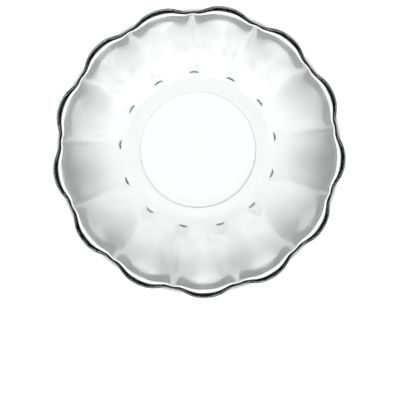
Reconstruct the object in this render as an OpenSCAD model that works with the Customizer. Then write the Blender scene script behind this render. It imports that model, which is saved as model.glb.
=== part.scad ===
// Clear pressed-glass saucer: a round foot and well, and a wall of rounded petals with a thick lip.
// Z is the axis, the table is z = 0, and the first petal is centred on -Y.

/* [Rim] */
// Radius out to the edge of a petal
petal_r = 70; // [68:0.5:73]
// Height of the lip at the middle of a petal
petal_h = 35.2; // [34.2:0.2:37.2]
// How far the lip dips between two petals
valley_drop = 5.2; // [2:0.1:6]
// How much narrower a dip is than a petal's crest
valley_sharpness = 0.14; // [0:0.01:0.24]
// Thickness of the lip at the middle of a petal
lip_t = 5.2; // [4.8:0.1:5.4]
// How much thinner the wall is than the lip
lip_step = 1.2; // [1:0.1:1.3]
// How much steeper the lip's inner face is than the wall, in degrees
lip_lean = 25; // [20:1:30]
// Rounding of the edge between the lip's top and its inner face
lip_edge_r = 0.5; // [0.4:0.1:0.8]
// Share of the wall's and lip's thickness that is missing at the rim between petals
valley_thin = 0.58; // [0:0.02:0.6]

/* [Wall] */
// Outer radius of the wall where the petals begin
shoulder_r = 42.5; // [42.3:0.1:44]
// Height of that place above the table
shoulder_z = 6; // [5.9:0.1:6]
// Radius at which the inside of the wall would meet the well floor
wall_foot_r = 34.5; // [34.5:0.1:35]
// How far the creases between petals stand back at the foot of the wall
foot_crease = 1.8; // [1:0.1:2.2]

/* [Well and foot] */
// Radius of the flat well floor
floor_r = 33.3; // [32:0.1:33.4]
// Height of the well floor above the table
floor_z = 5.4; // [5.4:0.1:5.6]
// Outer radius of the foot at the table
foot_r = 36.9; // [35.5:0.1:37.5]
// Rounding of the foot's lower edge
foot_round = 1.6; // [0.8:0.1:2]
// Radius of the shallow hollow under the well
hollow_r = 28; // [24:0.5:31]
// Depth of that hollow
hollow_d = 1; // [0.9:0.1:1.5]

/* [Hidden] */
petal_count = 13;
glass = [0.90, 0.94, 0.95, 0.5];
$fn = 180;

// Steps across a petal, round the lip and its edge, along the fillet and round the foot's edge
petal_steps = 14;
lip_steps = 7;
edge_steps = 3;
fillet_steps = 3;
foot_steps = 6;

half_angle = 180 / petal_count;
lip_r = lip_t / 2;

// The foot's cone: its spread in mm of radius for each mm of height, and its slope above the table
foot_spread = (shoulder_r - foot_r) / shoulder_z;
foot_slope = atan(1 / foot_spread);

// The petal's middle line leans out so that the lip's edge ends at petal_r
petal_rise = petal_h - lip_r - shoulder_z;
petal_reach = petal_r - lip_r - shoulder_r;
petal_spread = (petal_rise * petal_reach
                + lip_r * sqrt(petal_rise ^ 2 + petal_reach ^ 2 - lip_r ^ 2))
               / (petal_rise ^ 2 - lip_r ^ 2);
petal_slope = atan(1 / petal_spread);

// The lip is round from the outer wall to its top, and its inner face leans in at lip_face
lip_start = petal_slope - 90;
lip_top = 90;
lip_face = 90 + petal_slope + lip_lean;

// How far the inside of the wall lies behind the centre of the round lip
wall_behind = lip_r - lip_step;

// The inside of the wall is a little flatter than the outside, so that the wall thickens downwards
inner_rise = petal_h - lip_r + wall_behind * cos(petal_slope) - floor_z;
inner_reach = petal_r - lip_r - wall_behind * sin(petal_slope) - wall_foot_r;
inner_slope = atan(inner_rise / inner_reach);

// The fillet between the floor and the wall; the base ring holds it up to the height of the shoulder
fillet_r = (wall_foot_r - floor_r) / tan(inner_slope / 2);
fillet_start = acos(1 - (shoulder_z - floor_z) / fillet_r);

function petal_name(i) = str("petal_", i < 10 ? "0" : "", i);

// Place across a petal: u is -1 and 1 in the two valleys beside it and 0 in its middle

// Height of the rim's wave, from 0 in a valley to 1 on a petal's crest
function wave(u) = (1 + cos(180 * u) + valley_sharpness * (1 - cos(360 * u))) / 2;

// Share of the full thickness that the wall and its lip have, which is least between petals
function lip_share(u) = 1 - valley_thin * u ^ 2;

// Point of a given turn on a circle in the section's plane of radius and height
function on_circle(centre, r, turn) = centre + r * [cos(turn), sin(turn)];

// Points on a circle, from one turn to another
function arc(centre, r, from, to, steps) =
    [for (i = [0:steps]) on_circle(centre, r, from + (to - from) * i / steps)];

// Centre of the round lip, so that its outer side lies on the plain outer cone
function lip_centre(u) =
    let (r = lip_r * lip_share(u),
         height = petal_h - valley_drop * (1 - wave(u)) - r)
    [shoulder_r + petal_spread * (height - shoulder_z) - r * norm([petal_spread, 1]), height];

// Lip from the outer wall over its top, and round its inner edge
function lip_points(u) = arc(lip_centre(u), lip_r * lip_share(u), lip_start, lip_top, lip_steps);
function edge_points(u) =
    let (centre = on_circle(lip_centre(u), (lip_r - lip_edge_r) * lip_share(u), lip_top))
    arc(centre, lip_edge_r * lip_share(u), lip_top, lip_face, edge_steps);

// Point on the fillet, by its turn up from the well floor; the creases run out towards its start
function fillet_point(u, turn) =
    on_circle([floor_r, floor_z + fillet_r], fillet_r, turn - 90)
    + [foot_crease * u ^ 2 * (turn - fillet_start) / (inner_slope - fillet_start), 0];

// Where the lip's inner face meets the inside of the wall
function lip_corner(u) =
    let (edge = edge_points(u)[edge_steps],
         top = on_circle(lip_centre(u), wall_behind * lip_share(u), petal_slope + 90),
         foot = fillet_point(u, inner_slope),
         slope = (top[1] - foot[1]) / (top[0] - foot[0]),
         over = edge[1] - top[1] - slope * (edge[0] - top[0]),
         r = edge[0] - over / (tan(lip_face - 90) - slope))
    [r, top[1] + slope * (r - top[0])];

// Closed section of a petal: up the outer wall, over the lip and down the inside
function petal_section(u) = concat(
    [[shoulder_r, shoulder_z]],
    lip_points(u),
    [for (i = [1:edge_steps]) edge_points(u)[i]],
    [lip_corner(u)],
    [
        for (i = [0:fillet_steps])
            fillet_point(u, inner_slope + (fillet_start - inner_slope) * i / fillet_steps)
    ]
);

// One petal, from crease to crease, standing on the base ring
module petal(i) {
    section_size = len(petal_section(0));
    points = [
        for (step = [0:petal_steps])
            let (u = 2 * step / petal_steps - 1,
                 angle = -90 + half_angle * (2 * (i - 1) + u))
            for (p = petal_section(u)) [p[0] * cos(angle), p[0] * sin(angle), p[1]]
    ];
    sides = [
        for (step = [0:petal_steps - 1], k = [0:section_size - 1])
            let (a = step * section_size + k,
                 b = step * section_size + (k + 1) % section_size)
            each [[a, b, b + section_size], [a, b + section_size, a + section_size]]
    ];
    first_end = [for (k = [section_size - 1:-1:0]) k];
    last_end = [for (k = [0:section_size - 1]) petal_steps * section_size + k];
    color(glass) polyhedron(points, concat(sides, [first_end, last_end]));
}

// Flat round floor of the well, over the hollow
module well_floor() {
    color(glass) translate([0, 0, hollow_d]) cylinder(r = floor_r, h = floor_z - hollow_d);
}

// Ring round the well floor that carries the petals and holds the start of the fillet
module base_ring() {
    color(glass) rotate_extrude() difference() {
        polygon([
            [floor_r, hollow_d],
            [foot_r + foot_spread * hollow_d, hollow_d],
            [shoulder_r, shoulder_z],
            [floor_r, shoulder_z]
        ]);
        translate([floor_r, floor_z + fillet_r]) circle(r = fillet_r);
    }
}

// Flat ring that the saucer stands on, with a rounded outer edge
module foot_ring() {
    edge_r = foot_r - foot_round * tan(foot_slope / 2);
    rounded_edge = [
        for (i = [0:foot_steps])
            let (turn = foot_slope * i / foot_steps)
            [edge_r + foot_round * sin(turn), foot_round * (1 - cos(turn))]
    ];
    color(glass) rotate_extrude() polygon(concat(
        [[hollow_r, 0]],
        rounded_edge,
        [[foot_r + foot_spread * hollow_d, hollow_d], [hollow_r, hollow_d]]
    ));
}

well_floor();
base_ring();
foot_ring();
for (i = [1:petal_count]) petal(i);
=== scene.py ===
import math

import bmesh
import bpy
from mathutils import Matrix, Vector


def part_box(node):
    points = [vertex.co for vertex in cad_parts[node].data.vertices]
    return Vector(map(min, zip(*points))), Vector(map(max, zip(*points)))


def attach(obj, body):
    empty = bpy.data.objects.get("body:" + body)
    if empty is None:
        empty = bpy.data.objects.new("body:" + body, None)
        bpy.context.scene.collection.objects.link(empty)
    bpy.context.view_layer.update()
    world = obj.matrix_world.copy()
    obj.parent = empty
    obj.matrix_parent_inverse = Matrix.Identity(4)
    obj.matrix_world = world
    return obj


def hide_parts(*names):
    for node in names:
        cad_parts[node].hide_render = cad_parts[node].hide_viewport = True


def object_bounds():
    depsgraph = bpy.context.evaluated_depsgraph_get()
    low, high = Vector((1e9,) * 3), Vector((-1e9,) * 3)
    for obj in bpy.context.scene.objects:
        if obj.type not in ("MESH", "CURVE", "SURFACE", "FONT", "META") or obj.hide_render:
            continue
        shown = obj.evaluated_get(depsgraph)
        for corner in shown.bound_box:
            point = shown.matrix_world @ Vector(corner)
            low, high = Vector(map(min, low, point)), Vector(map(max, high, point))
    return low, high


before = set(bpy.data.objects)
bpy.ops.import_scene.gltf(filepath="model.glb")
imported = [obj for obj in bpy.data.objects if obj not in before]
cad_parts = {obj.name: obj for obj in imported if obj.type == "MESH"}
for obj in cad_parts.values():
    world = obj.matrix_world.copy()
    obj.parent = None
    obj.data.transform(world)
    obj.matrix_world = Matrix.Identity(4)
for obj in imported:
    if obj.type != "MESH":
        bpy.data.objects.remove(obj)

# Clear pressed-glass saucer, seen from straight above on a pale table.
# Lengths are in metres, angles in degrees where the name says so.
# A place across a petal is u, which is 0 in its middle and -1 and 1 in the creases beside it.

CAD_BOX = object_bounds()
NODES = sorted(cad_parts)
MM = 0.001

# Sizes that the CAD frame gives
PETALS = sum(name.startswith("petal_") for name in NODES)
PETAL_R = -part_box("petal_01")[0].y
PETAL_H = CAD_BOX[1].z
SHOULDER_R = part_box("base_ring")[1].x
SHOULDER_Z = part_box("base_ring")[1].z
FLOOR_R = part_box("well_floor")[1].x
FLOOR_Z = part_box("well_floor")[1].z
HOLLOW_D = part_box("well_floor")[0].z

# Rim: the dip between petals, how narrow it is, and the share of the thickness missing there
VALLEY_DROP = 5.2 * MM
VALLEY_SHARPNESS = 0.14
VALLEY_THIN = 0.58

# Lip: round from the outer wall to its top, with a steep inner face and a small hollow under that
LIP_T = 5.2 * MM
LIP_EDGE_R = 0.5 * MM
LIP_TOP_DEG = 90
LIP_FACE_DEG = 157.8
LIP_HOLLOW = 0.8 * MM

# Wall: its creases are rounded by these shares of half a petal at the rim and at the foot
WALL_T = 4.0 * MM
WALL_FOOT_R = 34.5 * MM
FOOT_CREASE = 1.8 * MM
CREASE_ROUND = (0.12, 0.3)
CREASE_END = 0.45

# Bend of the wall below the lip: its share of the wall, and the share of it that the creases lack
INNER_BEND = 0.59 * MM
OUTER_BEND = 0.5 * MM
BEND_SHARE = 0.23
BEND_FALL = 0.43

# Tent-shaped pockets at the feet of the creases, with widths as shares of half a petal
TENT_DEPTH = 2.2 * MM
TENT_HEIGHT = 6.0 * MM
TENT_WIDTH = 0.6
TENT_SIDE = 0.8
TENT_TIP = 0.01

# Foot, and the hollow under the well
FOOT_R = 36.9 * MM
FOOT_ROUND = 1.6 * MM
HOLLOW_R = 28 * MM
HOLLOW_EDGE = 1.8 * MM

# Mesh steps: columns across a petal, and points along each stretch of the section
PETAL_STEPS = 40
WALL_STEPS = 36
LIP_STEPS = 14
EDGE_STEPS = 6
HOLLOW_STEPS = 8
FILLET_STEPS = 14
FOOT_STEPS = 8
FLAT_STEPS = 3
SUPPORT = 0.3 * MM

# The outer wall leans out so that the lip's edge ends at the petal's radius
LIP_R = LIP_T / 2
RISE = PETAL_H - LIP_R - SHOULDER_Z
REACH = PETAL_R - LIP_R - SHOULDER_R
LEVER = LIP_R * math.sqrt(RISE**2 + REACH**2 - LIP_R**2)
PETAL_SPREAD = (RISE * REACH + LEVER) / (RISE**2 - LIP_R**2)
WALL_SLOPE = math.atan2(1, PETAL_SPREAD)

# The foot's outside is a cone up to the shoulder
FOOT_SPREAD = (SHOULDER_R - FOOT_R) / SHOULDER_Z
FOOT_SLOPE = math.atan2(1, FOOT_SPREAD)

# The inside of the wall leans a little more, from the lip's inner side to the fillet at the floor
TIP_R = PETAL_R - LIP_R - (WALL_T - LIP_R) * math.sin(WALL_SLOPE)
TIP_Z = PETAL_H - LIP_R + (WALL_T - LIP_R) * math.cos(WALL_SLOPE)
INNER_SLOPE = math.atan2(TIP_Z - FLOOR_Z, TIP_R - WALL_FOOT_R)
FILLET_R = (WALL_FOOT_R - FLOOR_R) / math.tan(INNER_SLOPE / 2)


def smooth(x):
    """Rises smoothly from 0 at 0 to 1 at 1, and stays there."""
    x = min(max(x, 0), 1)
    return x * x * (3 - 2 * x)


def steps_between(a, b, count):
    """Points after a, up to and with b, on a straight line."""
    return [tuple(p + (q - p) * i / count for p, q in zip(a, b)) for i in range(1, count + 1)]


def on_circle(centre, radius, turn):
    """Point at a given turn on a circle in the section's plane."""
    return centre[0] + radius * math.cos(turn), centre[1] + radius * math.sin(turn)


def arc(centre, radius, start, end, count):
    """Points on a circle after the turn start, up to and with the turn end."""
    turns = [start + (end - start) * i / count for i in range(1, count + 1)]
    return [on_circle(centre, radius, turn) for turn in turns]


def wave(u):
    """Height of the rim's wave, from 0 in a valley to 1 on a petal's crest."""
    return (1 + math.cos(math.pi * u) + VALLEY_SHARPNESS * (1 - math.cos(2 * math.pi * u))) / 2


def crease(u, low):
    """From 0 in a petal's middle to 1 in its creases; low is 0 at the rim and 1 at the foot."""
    width = CREASE_ROUND[0] + (CREASE_ROUND[1] - CREASE_ROUND[0]) * low
    past = abs(u) - (1 - width)
    if past < 0:
        return u**2 / (1 - width)
    return 1 - width + 2 * past - past**2 / width


def tent(u, height):
    """Depth of the pocket at the foot of a crease, which narrows upwards."""
    left = max(1 - (height - FLOOR_Z) / TENT_HEIGHT, TENT_TIP)
    width = TENT_WIDTH * left
    return TENT_DEPTH * left * smooth((abs(u) - 1 + width) / (TENT_SIDE * width))


def bend(most, u, part):
    """How far the wall stands out, at a part of its way down; it is steepest at the lip."""
    return most * (1 - BEND_FALL * u**2) * (1 - (1 - min(part / BEND_SHARE, 1))**2) * (1 - part)


def lip_share(u):
    """Share of the full thickness that the wall and its lip have."""
    return 1 - VALLEY_THIN * crease(u, 0)


def lip_centre(u):
    """Centre of the lip's round outside, which lies on the plain outer cone."""
    lip_r = LIP_R * lip_share(u)
    height = PETAL_H - VALLEY_DROP * (1 - wave(u)) - lip_r
    cone_r = SHOULDER_R + PETAL_SPREAD * (height - SHOULDER_Z)
    return cone_r - lip_r * math.hypot(PETAL_SPREAD, 1), height


def underside():
    """Section from the axis under the hollow, round the foot and up to the shoulder."""
    points = [(0, HOLLOW_D)]
    inner_r = HOLLOW_R - HOLLOW_EDGE / 2
    outer_r = inner_r + HOLLOW_EDGE
    points += steps_between(points[-1], (inner_r - 2 * SUPPORT, HOLLOW_D), FLAT_STEPS)
    points.append((inner_r - SUPPORT, HOLLOW_D))
    for i in range(FOOT_STEPS + 1):
        part = i / FOOT_STEPS
        height = HOLLOW_D * (1 + math.cos(math.pi * part)) / 2
        points.append((inner_r + HOLLOW_EDGE * part, height))
    edge_r = FOOT_R - FOOT_ROUND * math.tan(FOOT_SLOPE / 2)
    points += [(outer_r + SUPPORT, 0), (edge_r - 2 * SUPPORT, 0), (edge_r - SUPPORT, 0)]
    for i in range(FOOT_STEPS + 1):
        turn = FOOT_SLOPE * i / FOOT_STEPS
        points.append((edge_r + FOOT_ROUND * math.sin(turn), FOOT_ROUND * (1 - math.cos(turn))))
    return points + steps_between(points[-1], (SHOULDER_R, SHOULDER_Z), FLAT_STEPS)


def outer_wall(u, top):
    """Section up the outside of a petal, from the shoulder to the start of the lip."""
    wall = steps_between((SHOULDER_R, SHOULDER_Z), top, WALL_STEPS)
    return [(r + bend(OUTER_BEND, u, 1 - i / WALL_STEPS), z) for i, (r, z) in enumerate(wall, 1)]


def outer_wall_and_lip(u):
    """Section up the outside of a petal, over its round lip and round the lip's inner edge."""
    centre = lip_centre(u)
    lip_r = LIP_R * lip_share(u)
    edge_r = LIP_EDGE_R * lip_share(u)
    start = WALL_SLOPE - math.pi / 2
    top = math.radians(LIP_TOP_DEG)
    edge_centre = on_circle(centre, lip_r - edge_r, top)
    lip = arc(centre, lip_r, start, top, LIP_STEPS)
    edge = arc(edge_centre, edge_r, top, math.radians(LIP_FACE_DEG), EDGE_STEPS)
    return outer_wall(u, on_circle(centre, lip_r, start)) + lip + edge


def fillet_point(u, part):
    """Point on the fillet, from part 0 at the floor, where creases end, to part 1 at the wall."""
    turn = INNER_SLOPE * part
    height = FLOOR_Z + FILLET_R * (1 - math.cos(turn))
    back = (FOOT_CREASE * crease(u, 1) + tent(u, height)) * smooth(part / CREASE_END)
    return FLOOR_R + FILLET_R * math.sin(turn) + back, height


def inner_wall_ends(u):
    """Top and foot of the straight line that the inside of a petal follows."""
    centre = lip_centre(u)
    behind = (WALL_T - LIP_R) * lip_share(u)
    top = (centre[0] - behind * math.sin(WALL_SLOPE), centre[1] + behind * math.cos(WALL_SLOPE))
    foot_r, foot_z = fillet_point(u, 1)
    return top, (foot_r - tent(u, foot_z), foot_z)


def lip_hollow(lip_inner, top, foot):
    """Small curve from the lip's inner edge, down its face, into the line from top to foot."""
    slope = (top[1] - foot[1]) / (top[0] - foot[0])
    face = math.tan(math.radians(LIP_FACE_DEG - 90))
    over = lip_inner[1] - (top[1] + slope * (lip_inner[0] - top[0]))
    corner_r = lip_inner[0] - over / (face - slope)
    corner = (corner_r, top[1] + slope * (corner_r - top[0]))
    end_r = corner_r - LIP_HOLLOW
    end = (end_r, top[1] + slope * (end_r - top[0]))
    points = []
    for i in range(1, HOLLOW_STEPS + 1):
        t = i / HOLLOW_STEPS
        points.append(tuple((1 - t)**2 * a + 2 * t * (1 - t) * b + t**2 * c
                            for a, b, c in zip(lip_inner, corner, end)))
    return points


def inside(u, lip_inner):
    """Section down the lip's inner face, the inside of a petal and the fillet, to the axis."""
    top, foot = inner_wall_ends(u)
    points = lip_hollow(lip_inner, top, foot)
    wall = steps_between(points[-1], foot, WALL_STEPS)
    for i, (r, z) in enumerate(wall, 1):
        points.append((r + tent(u, z) + bend(INNER_BEND, u, i / WALL_STEPS), z))
    points += [fillet_point(u, 1 - i / FILLET_STEPS) for i in range(1, FILLET_STEPS + 1)]
    points += [(FLOOR_R - SUPPORT, FLOOR_Z), (FLOOR_R - 2 * SUPPORT, FLOOR_Z)]
    return points + steps_between(points[-1], (0, FLOOR_Z), FLAT_STEPS)


def section(u):
    """Whole section, from the axis under the hollow to the axis on the floor."""
    points = underside() + outer_wall_and_lip(u)
    return points + inside(u, points[-1])


def glass_mesh():
    """The moulding as one closed skin, turned about Z with the first petal centred on -Y."""
    columns = PETALS * PETAL_STEPS
    bm = bmesh.new()
    rings = []
    for column in range(columns):
        across = column % PETAL_STEPS / PETAL_STEPS
        u = 2 * across if across <= 0.5 else 2 * across - 2
        angle = 2 * math.pi * column / columns - math.pi / 2
        line = section(u)[1:-1]
        rings.append([bm.verts.new((r * math.cos(angle), r * math.sin(angle), z)) for r, z in line])
    under = bm.verts.new((0, 0, HOLLOW_D))
    over = bm.verts.new((0, 0, FLOOR_Z))
    for this, after in zip(rings, rings[1:] + rings[:1]):
        bm.faces.new((under, after[0], this[0]))
        bm.faces.new((over, this[-1], after[-1]))
        for k in range(len(this) - 1):
            bm.faces.new((this[k], after[k], after[k + 1], this[k + 1]))
    for face in bm.faces:
        face.smooth = True
    bmesh.ops.recalc_face_normals(bm, faces=bm.faces)
    mesh = bpy.data.meshes.new("saucer_glass")
    bm.to_mesh(mesh)
    bm.free()
    mark_satin(mesh, columns, len(rings[0]))
    return mesh


# Glass: refraction, the faint waviness of pressed glass and a grey-green tint in thick places
GLASS_IOR = 1.5
GLASS_COLOR = (0.99, 0.995, 0.99, 1)
TINT = (0.45, 0.53, 0.50, 1)
TINT_DENSITY = 30
WAVE_SCALE = 90
WAVE_DEPTH = 0.004 * MM
POLISH = (0.0, 0.012)

# The inside of the wall is satin, and gets more so over its last steps down to the fillet
SATIN = 0.11
FILLET_SATIN = 2.4
SATIN_STEPS = 16


def mark_satin(mesh, columns, column_size):
    """Marks how satin each point of the inside wall and the fillet is."""
    start = len(underside()) + WALL_STEPS + LIP_STEPS + EDGE_STEPS + HOLLOW_STEPS - 1
    satin = mesh.attributes.new("satin", "FLOAT", "POINT")
    for column in range(columns):
        for k in range(WALL_STEPS + FILLET_STEPS):
            low = smooth((k - WALL_STEPS) / SATIN_STEPS + 1)
            satin.data[column * column_size + start + k].value = 1 + (FILLET_SATIN - 1) * low


def node(tree, kind, **values):
    """A new shader node; each value goes to the input, or else the property, of that name."""
    made = tree.nodes.new(kind)
    for name, value in values.items():
        label = name.replace("_", " ").title()
        if label in made.inputs:
            made.inputs[label].default_value = value
        else:
            setattr(made, name, value)
    return made


def joined(tree, made, *operands):
    """The node with its first inputs filled, each from another node's output or with a constant."""
    for socket, operand in zip(made.inputs, operands):
        if isinstance(operand, bpy.types.NodeSocket):
            tree.links.new(operand, socket)
        else:
            socket.default_value = operand
    return made


def math_node(tree, operation, *operands):
    """Result of a new math node."""
    return joined(tree, node(tree, "ShaderNodeMath", operation=operation), *operands).outputs[0]


def vector_node(tree, operation, *operands):
    """Result of a new vector math node, which is a number for a length or a dot product."""
    made = joined(tree, node(tree, "ShaderNodeVectorMath", operation=operation), *operands)
    return made.outputs["Value" if operation in ("LENGTH", "DOT_PRODUCT") else "Vector"]


def ramp(tree, value, start, end, low, high):
    """Goes smoothly from low to high while the value goes from start to end."""
    made = node(tree, "ShaderNodeMapRange", interpolation_type="SMOOTHSTEP",
                from_min=start, from_max=end, to_min=low, to_max=high)
    tree.links.new(value, made.inputs["Value"])
    return made.outputs["Result"]


def glass_material():
    """Clear glass whose roughness comes from the marked satin and an uneven polish."""
    material = bpy.data.materials.new("clear_pressed_glass")
    material.use_nodes = True
    tree = material.node_tree
    shader = tree.nodes["Principled BSDF"]
    shader.inputs["Base Color"].default_value = GLASS_COLOR
    shader.inputs["Transmission Weight"].default_value = 1
    shader.inputs["IOR"].default_value = GLASS_IOR
    place = node(tree, "ShaderNodeTexCoord")
    ripple = node(tree, "ShaderNodeTexNoise", scale=WAVE_SCALE, detail=1.0)
    bump = node(tree, "ShaderNodeBump", strength=1.0, distance=WAVE_DEPTH)
    polish = node(tree, "ShaderNodeMapRange", to_min=POLISH[0], to_max=POLISH[1])
    satin = node(tree, "ShaderNodeAttribute", attribute_name="satin")
    tint = node(tree, "ShaderNodeVolumeAbsorption", color=TINT, density=TINT_DENSITY)
    tree.links.new(place.outputs["Object"], ripple.inputs["Vector"])
    tree.links.new(ripple.outputs["Fac"], bump.inputs["Height"])
    tree.links.new(ripple.outputs["Fac"], polish.inputs["Value"])
    tree.links.new(bump.outputs["Normal"], shader.inputs["Normal"])
    rough = math_node(tree, "MULTIPLY_ADD", satin.outputs["Fac"], SATIN, polish.outputs["Result"])
    tree.links.new(rough, shader.inputs["Roughness"])
    tree.links.new(tint.outputs["Volume"], tree.nodes["Material Output"].inputs["Volume"])
    return material


def make_glass():
    """The saucer's glass, which covers all the solids of the frame."""
    mesh = glass_mesh()
    mesh.materials.append(glass_material())
    piece = bpy.data.objects.new("saucer_glass", mesh)
    bpy.context.scene.collection.objects.link(piece)
    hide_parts(*NODES)
    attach(piece, "root")


# Table: pale, lit by the lamp, with a glow of its own that paints a pool of light and a shadow ring
# under the saucer
TABLE_SIZE = 5.0
TABLE_DROP = 0.1 * MM
TABLE_COLOR = (0.85, 0.85, 0.85, 1)

# Painted pool of light under the saucer, dimmer under the foot ring and fading out under the wall
# as painted shade: radius in millimetres and strength, with a unit of 100 mm
POOL_STOPS = ((0, 0.92), (27, 0.92), (29, 0.86), (33, 0.86),
              (36, 0.9), (40, 0.8), (50, 0.47), (64, 0))
POOL_UNIT = 10
POOL_STRETCH = 0.93
POOL_SHIFT = 3 * MM

# Glow round the saucer, which rises between two radii; inside them, under the rim, its lack is a
# painted shadow ring
OUTER_GLOW = 0.86
OUTER_R = (67.6 * MM, 70.3 * MM)
OUTER_CENTRE = (0.5 * MM, -0.9 * MM, 0)


def painted_light_pool(tree, position):
    """Strength of the painted pool of light under the saucer, with painted shade under the foot
    ring and the wall, from a curve over the radius in a squeezed circle.
    """
    squeeze = (1, 1 / POOL_STRETCH, 0)
    shift = (0, -POOL_SHIFT / POOL_STRETCH, 0)
    squeezed = vector_node(tree, "MULTIPLY_ADD", position, squeeze, shift)
    radius = vector_node(tree, "LENGTH", squeezed)
    curve = node(tree, "ShaderNodeFloatCurve")
    tree.links.new(math_node(tree, "MULTIPLY", radius, POOL_UNIT), curve.inputs["Value"])
    stops = [(stop_r * MM * POOL_UNIT, level) for stop_r, level in POOL_STOPS]
    points = curve.mapping.curves[0].points
    for stop in stops[1:-1]:
        points.new(*stop)
    for point, stop in zip(points, stops):
        point.location = stop
        point.handle_type = "VECTOR"
    curve.mapping.extend = "HORIZONTAL"
    curve.mapping.update()
    return curve.outputs["Value"]


def glow_round_painted_shadow(tree, position):
    """Strength of the glow round the saucer, which leaves a painted shadow ring under the rim."""
    radius = vector_node(tree, "LENGTH", vector_node(tree, "SUBTRACT", position, OUTER_CENTRE))
    return ramp(tree, radius, *OUTER_R, 0, OUTER_GLOW)


def seen(tree):
    """1 for rays from the camera, and for those that the glass mirrors or lets through."""
    rays = node(tree, "ShaderNodeLightPath").outputs
    direct = math_node(tree, "MAXIMUM", rays["Is Camera Ray"], rays["Is Glossy Ray"])
    return math_node(tree, "MAXIMUM", direct, rays["Is Transmission Ray"])


def table_material():
    """Matt and pale, with its own glow added where it is seen, which paints a pool of light and a
    shadow ring under the saucer.
    """
    material = bpy.data.materials.new("pale_table")
    material.use_nodes = True
    tree = material.node_tree
    tree.nodes.clear()
    position = node(tree, "ShaderNodeNewGeometry").outputs["Position"]
    # Painted light and shade: the pool of light under the saucer and the glow round it, with a
    # painted shadow ring between them
    glows = math_node(tree, "ADD", painted_light_pool(tree, position), glow_round_painted_shadow(tree, position))
    matt = node(tree, "ShaderNodeBsdfDiffuse", color=TABLE_COLOR)
    glow = node(tree, "ShaderNodeEmission")
    tree.links.new(math_node(tree, "MULTIPLY", glows, seen(tree)), glow.inputs["Strength"])
    both = joined(tree, node(tree, "ShaderNodeAddShader"), matt.outputs[0], glow.outputs[0])
    output = node(tree, "ShaderNodeOutputMaterial")
    tree.links.new(both.outputs[0], output.inputs["Surface"])
    return material


def make_table():
    """A large flat table just under the foot."""
    mesh = bpy.data.meshes.new("table")
    half = TABLE_SIZE / 2
    corners = [(-half, -half), (half, -half), (half, half), (-half, half)]
    mesh.from_pydata([(x, y, -TABLE_DROP) for x, y in corners], [], [(0, 1, 2, 3)])
    mesh.materials.append(table_material())
    table = bpy.data.objects.new("table", mesh)
    bpy.context.scene.collection.objects.link(table)


# Room: dark, with a white strip along the horizon and a soft glow low in front and behind
ROOM_LEVEL = 0.01
STRIP_LEVEL = 1.0
STRIP_TOP_DEG = (2, 4)

# The glow grows in front of and behind a line across the room, in a band that leans like the camera
FRONT_GLOW = 9.8
BACK_GLOW = 9.5
GLOW_SPLIT = 0.05
GLOW_LEAN_DEG = 1.8
GLOW_TOWARDS_DEG = 116.1
GLOW_FOOT_DEG = (5.1, 6.1)
GLOW_TOP_DEG = (12, 16.4)


def below(tree, height, full_deg, none_deg):
    """1 under the first elevation and 0 over the second, with a smooth change between."""
    full = math.sin(math.radians(full_deg))
    none = math.sin(math.radians(none_deg))
    return ramp(tree, height, full, none, 1, 0)


def low_glow(tree, direction, ahead):
    """Strength of the glow low in front and behind."""
    front = math_node(tree, "MULTIPLY", math_node(tree, "SUBTRACT", GLOW_SPLIT, ahead), FRONT_GLOW)
    back = math_node(tree, "MULTIPLY", math_node(tree, "SUBTRACT", ahead, GLOW_SPLIT), BACK_GLOW)
    lean = math.radians(GLOW_LEAN_DEG)
    towards = math.radians(GLOW_TOWARDS_DEG)
    upright = (-lean * math.cos(towards), -lean * math.sin(towards), 1)
    height = vector_node(tree, "DOT_PRODUCT", direction, upright)
    under_top = below(tree, height, *GLOW_TOP_DEG)
    under_foot = below(tree, height, *GLOW_FOOT_DEG)
    band = math_node(tree, "SUBTRACT", under_top, under_foot)
    return math_node(tree, "MULTIPLY", math_node(tree, "MAXIMUM", front, back), band)


def make_room():
    """The surroundings that the glass mirrors."""
    world = bpy.data.worlds.new("room")
    bpy.context.scene.world = world
    world.use_nodes = True
    tree = world.node_tree
    direction = node(tree, "ShaderNodeTexCoord").outputs["Generated"]
    axes = joined(tree, node(tree, "ShaderNodeSeparateXYZ"), direction).outputs
    strip = math_node(tree, "MULTIPLY", below(tree, axes["Z"], *STRIP_TOP_DEG), STRIP_LEVEL)
    glows = math_node(tree, "ADD", low_glow(tree, direction, axes["Y"]), strip)
    background = tree.nodes["Background"]
    background.inputs["Color"].default_value = (1, 1, 1, 1)
    tree.links.new(math_node(tree, "ADD", glows, ROOM_LEVEL), background.inputs["Strength"])


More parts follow.
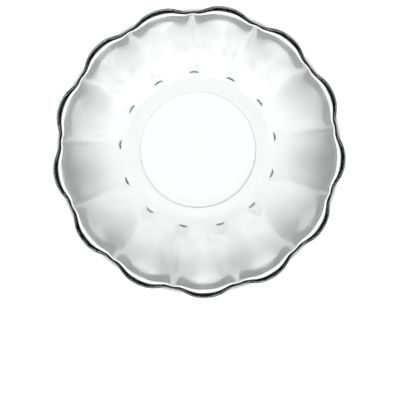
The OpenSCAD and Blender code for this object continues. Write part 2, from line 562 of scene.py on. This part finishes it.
# Lamp: one square softbox overhead
LAMP_SIZE = 3.6
LAMP_HEIGHT = 4.0
LAMP_POWER = 32


def make_lamp():
    """The softbox, which faces down."""
    light = bpy.data.lights.new("overhead_softbox", "AREA")
    light.shape = "SQUARE"
    light.size = LAMP_SIZE
    light.energy = LAMP_POWER
    lamp = bpy.data.objects.new("overhead_softbox", light)
    lamp.location = (0, 0, LAMP_HEIGHT)
    bpy.context.scene.collection.objects.link(lamp)


# Camera: almost straight above, a little towards the picture's upper left
FRAME_PX = 400
SAUCER_PX = 295
RIM_CENTRE_PX = (198.9, 151.4)
CAMERA_DISTANCE = 1.4
CAMERA_LEAN_DEG = 1.8
LEAN_TOWARDS_DEG = 119
CAMERA_ROLL_DEG = -2.9
SENSOR = 36.0
CLIP_START = 0.01


def make_camera():
    """The camera, which looks at the middle of the rim and puts it at its place in the picture."""
    data = bpy.data.cameras.new("camera")
    camera = bpy.data.objects.new("camera", data)
    lean = math.radians(CAMERA_LEAN_DEG)
    roll = math.radians(CAMERA_ROLL_DEG)
    towards = math.radians(LEAN_TOWARDS_DEG + CAMERA_ROLL_DEG)
    aside = math.sin(lean)
    back = Vector((aside * math.cos(towards), aside * math.sin(towards), math.cos(lean)))
    right = Vector((-math.sin(roll), math.cos(roll), 0)).cross(back).normalized()
    up = back.cross(right)
    rim = Vector((0, 0, PETAL_H - LIP_R))
    camera.location = rim + back * CAMERA_DISTANCE
    camera.rotation_euler = Matrix((right, up, back)).transposed().to_euler()
    view_width = FRAME_PX / SAUCER_PX * 2 * PETAL_R
    data.sensor_width = SENSOR
    data.lens = SENSOR * CAMERA_DISTANCE / view_width
    data.shift_x = (FRAME_PX / 2 - RIM_CENTRE_PX[0]) / FRAME_PX
    data.shift_y = (RIM_CENTRE_PX[1] - FRAME_PX / 2) / FRAME_PX
    data.clip_start = CLIP_START
    bpy.context.scene.collection.objects.link(camera)
    bpy.context.scene.camera = camera


make_glass()
make_table()
make_room()
make_lamp()
make_camera()
bpy.context.scene.view_settings.view_transform = "Standard"
